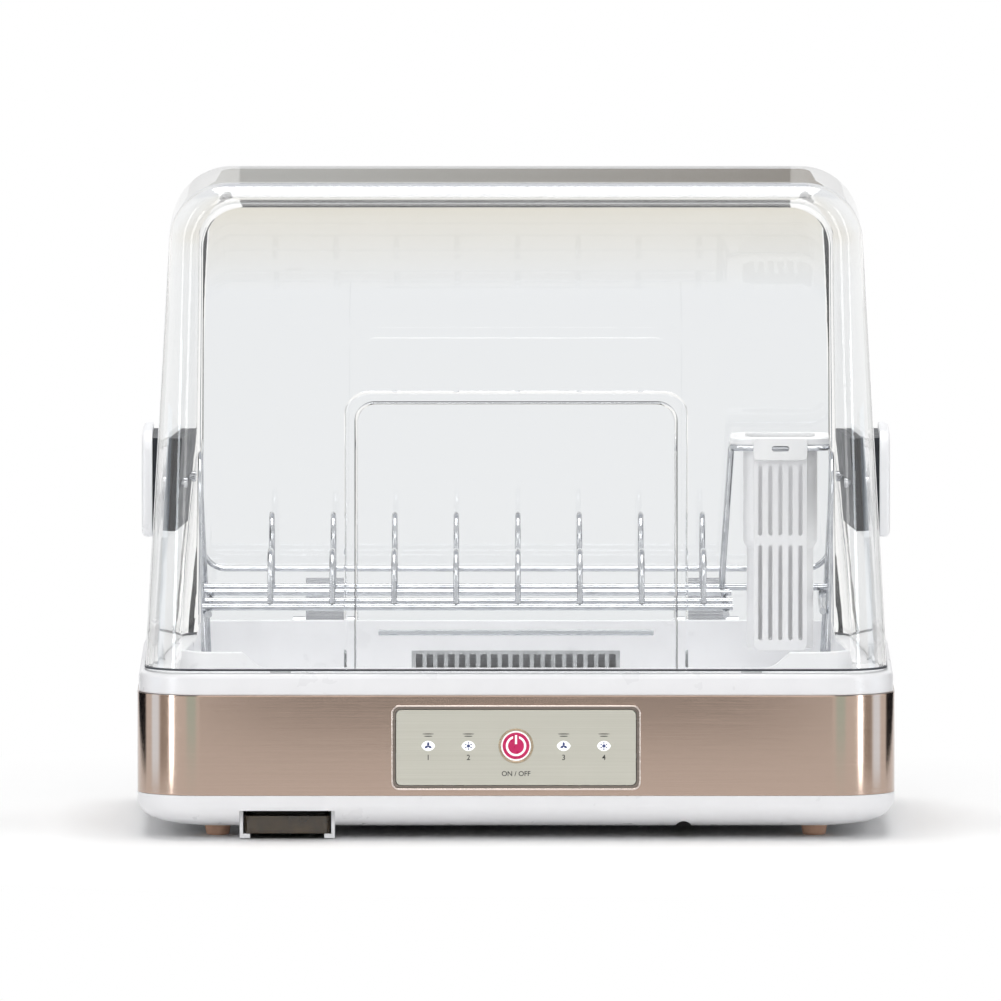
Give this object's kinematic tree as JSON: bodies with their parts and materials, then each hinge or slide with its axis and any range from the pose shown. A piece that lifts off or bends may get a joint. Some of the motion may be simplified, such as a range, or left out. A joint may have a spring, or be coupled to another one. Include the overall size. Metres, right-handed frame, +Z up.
{
  "type": "countertop dish dryer",
  "caption": "Countertop dish dryer: low base with a bronze steel band, lit button panel, drip tray and wire rack under a clear flip-up lid",
  "frame": {"origin": "on the ground under the middle of the base", "axes": "+Z up, the front with the control panel faces -Y, +X to the right seen from the front"},
  "size_m": [0.43, 0.3, 0.372],
  "materials": {
    "white_plastic": "glossy moulded ABS",
    "foot_rubber": "pale beige rubber",
    "bronze_steel": "brushed, champagne bronze",
    "champagne_face": "fine brushed, champagne",
    "bright_trim": "polished",
    "lamp_lens": "milky, lit",
    "magenta_button": "glossy, lit from behind",
    "symbol_white": "white inlay",
    "circuit_board": "solder mask",
    "dark_plastic": "fine texture",
    "inner_plastic": "plain moulded",
    "plated_steel": "zinc plated",
    "heater_metal": "ribbed fins",
    "duct_metal": "bare sheet",
    "soft_pad": "translucent silicone",
    "smoked_plastic": "smoked brown",
    "chrome_wire": "polished wire",
    "wire_cap": "white soft cap",
    "caddy_plastic": "satin moulded",
    "clear_plastic": "clear, polished",
    "smoke_clear": "clear, moulded lip"
  },
  "bodies": {
    "base": {"bottom_case": "white_plastic", "feet": "foot_rubber", "drip_rails": "white_plastic", "steel_band": "bronze_steel", "deck_rim": "white_plastic", "draining_pan": "white_plastic", "lid_bumpers": "soft_pad", "drain_spout": "inner_plastic", "face_plate": "champagne_face", "face_bezel": "bright_trim", "button_ring": "bright_trim", "button_light": "lamp_lens", "indicator_lenses": "lamp_lens", "indicator_leds": "lamp_lens", "control_board": "circuit_board", "tact_switch": "dark_plastic", "power_board": "circuit_board", "transformer": "heater_metal", "board_parts": "dark_plastic", "blower_housing": "inner_plastic", "blower_cover": "inner_plastic", "fan_motor": "duct_metal", "heater_duct": "duct_metal", "ptc_heater": "heater_metal", "thermal_cutout": "dark_plastic", "riser_duct": "duct_metal", "outlet_grille": "white_plastic", "cord_gland": "dark_plastic", "case_screws": "plated_steel", "hinge_brackets": "plated_steel", "hinge_pins": "plated_steel", "bracket_screws": "plated_steel"},
    "button": {"power_button": "magenta_button", "power_symbol": "symbol_white"},
    "fan": {"fan_wheel": "dark_plastic", "fan_shaft": "plated_steel"},
    "tray": {"drip_tray": "smoked_plastic"},
    "rack": {"rack_loop_left": "chrome_wire", "rack_loop_right": "chrome_wire", "rack_end_bars": "chrome_wire", "rack_rails": "chrome_wire", "rear_dividers": "chrome_wire", "front_dividers": "chrome_wire", "plate_stop": "chrome_wire", "caddy_hanger": "chrome_wire", "rack_feet": "wire_cap"},
    "caddy": {"utensil_caddy": "caddy_plastic"},
    "lid": {"lid_shell": "clear_plastic", "finger_ledge": "smoke_clear", "grip_left": "white_plastic", "grip_right": "white_plastic", "grip_spacers": "dark_plastic", "grip_backings": "dark_plastic", "grip_screws": "plated_steel", "lid_leaves": "plated_steel", "leaf_screws": "plated_steel"}
  },
  "joints": [
    {"name": "lid_hinge", "type": "hinge", "parent": "base", "child": "lid", "pos_m": [0, 0.144, 0.1016], "axis": [-1, 0, 0], "range_deg": [0, 85]},
    {"name": "power_button_press", "type": "slide", "parent": "base", "child": "button", "axis": [0, 1, 0], "range_m": [0, 0.0012], "stiffness_N_per_m": 400},
    {"name": "drip_tray_slide", "type": "slide", "parent": "base", "child": "tray", "axis": [0, -1, 0], "range_m": [0, 0.1]},
    {"name": "fan_spin", "type": "hinge", "parent": "base", "child": "fan", "pos_m": [0, 0.033, 0.035], "axis": [0, 0, 1], "continuous": true},
    {"name": "rack_lift", "type": "slide", "parent": "base", "child": "rack", "axis": [0, 0, 1], "range_m": [0, 0.1]},
    {"name": "caddy_lift", "type": "slide", "parent": "rack", "child": "caddy", "axis": [0, 0, 1], "range_m": [0, 0.12]}
  ]
}
